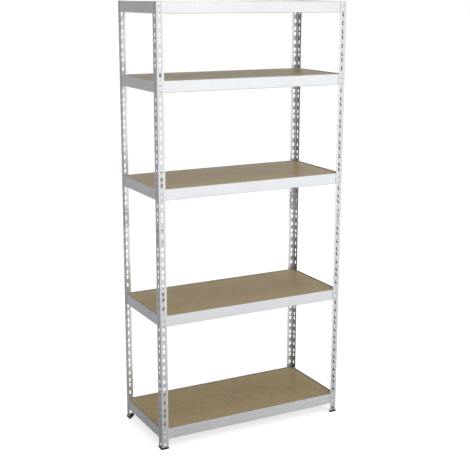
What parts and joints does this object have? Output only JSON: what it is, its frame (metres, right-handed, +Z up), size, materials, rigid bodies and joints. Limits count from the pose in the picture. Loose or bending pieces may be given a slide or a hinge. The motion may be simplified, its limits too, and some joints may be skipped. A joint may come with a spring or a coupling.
{
  "type": "boltless shelving unit",
  "caption": "Free-standing shelving of punched steel angle posts, folded beams hung in keyholes by rivets, and loose boards; bays for storing boxes.",
  "frame": {"origin": "on the floor under the middle of the unit", "axes": "+X to the right along the long beams, +Y to the rear, +Z up the posts"},
  "size_m": [0.9036, 0.4034, 1.9],
  "materials": {
    "post_steel": "galvanised, satin, faint spangle",
    "beam_steel": "galvanised, satin",
    "joiner_steel": "galvanised, satin",
    "rivet_steel": "zinc plated",
    "board": "raw fibreboard, smooth, unsealed",
    "foot_plastic": "moulded, fine grain"
  },
  "bodies": {
    "frame": {"foot_front_left": "foot_plastic", "lower_post_front_left": "post_steel", "upper_post_front_left": "post_steel", "post_joiner_front_left": "joiner_steel", "foot_front_right": "foot_plastic", "lower_post_front_right": "post_steel", "upper_post_front_right": "post_steel", "post_joiner_front_right": "joiner_steel", "foot_rear_right": "foot_plastic", "lower_post_rear_right": "post_steel", "upper_post_rear_right": "post_steel", "post_joiner_rear_right": "joiner_steel", "foot_rear_left": "foot_plastic", "lower_post_rear_left": "post_steel", "upper_post_rear_left": "post_steel", "post_joiner_rear_left": "joiner_steel", "joiner_rivets": "rivet_steel", "front_beam_1": "beam_steel", "rear_beam_1": "beam_steel", "left_beam_1": "beam_steel", "right_beam_1": "beam_steel", "beam_rivets_1": "rivet_steel", "front_beam_2": "beam_steel", "rear_beam_2": "beam_steel", "left_beam_2": "beam_steel", "right_beam_2": "beam_steel", "beam_rivets_2": "rivet_steel", "front_beam_3": "beam_steel", "rear_beam_3": "beam_steel", "left_beam_3": "beam_steel", "right_beam_3": "beam_steel", "beam_rivets_3": "rivet_steel", "front_beam_4": "beam_steel", "rear_beam_4": "beam_steel", "left_beam_4": "beam_steel", "right_beam_4": "beam_steel", "beam_rivets_4": "rivet_steel", "front_beam_5": "beam_steel", "rear_beam_5": "beam_steel", "left_beam_5": "beam_steel", "right_beam_5": "beam_steel", "beam_rivets_5": "rivet_steel"},
    "board_1": {"shelf_board_1": "board"},
    "board_2": {"shelf_board_2": "board"},
    "board_3": {"shelf_board_3": "board"},
    "board_4": {"shelf_board_4": "board"},
    "board_5": {"shelf_board_5": "board"}
  },
  "joints": [
    {"name": "board_1_lift", "type": "slide", "parent": "frame", "child": "board_1", "axis": [0, 0, 1], "range_m": [0, 0.12]},
    {"name": "board_2_lift", "type": "slide", "parent": "frame", "child": "board_2", "axis": [0, 0, 1], "range_m": [0, 0.12]},
    {"name": "board_3_lift", "type": "slide", "parent": "frame", "child": "board_3", "axis": [0, 0, 1], "range_m": [0, 0.12]},
    {"name": "board_4_lift", "type": "slide", "parent": "frame", "child": "board_4", "axis": [0, 0, 1], "range_m": [0, 0.12]},
    {"name": "board_5_lift", "type": "slide", "parent": "frame", "child": "board_5", "axis": [0, 0, 1], "range_m": [0, 0.12]}
  ]
}
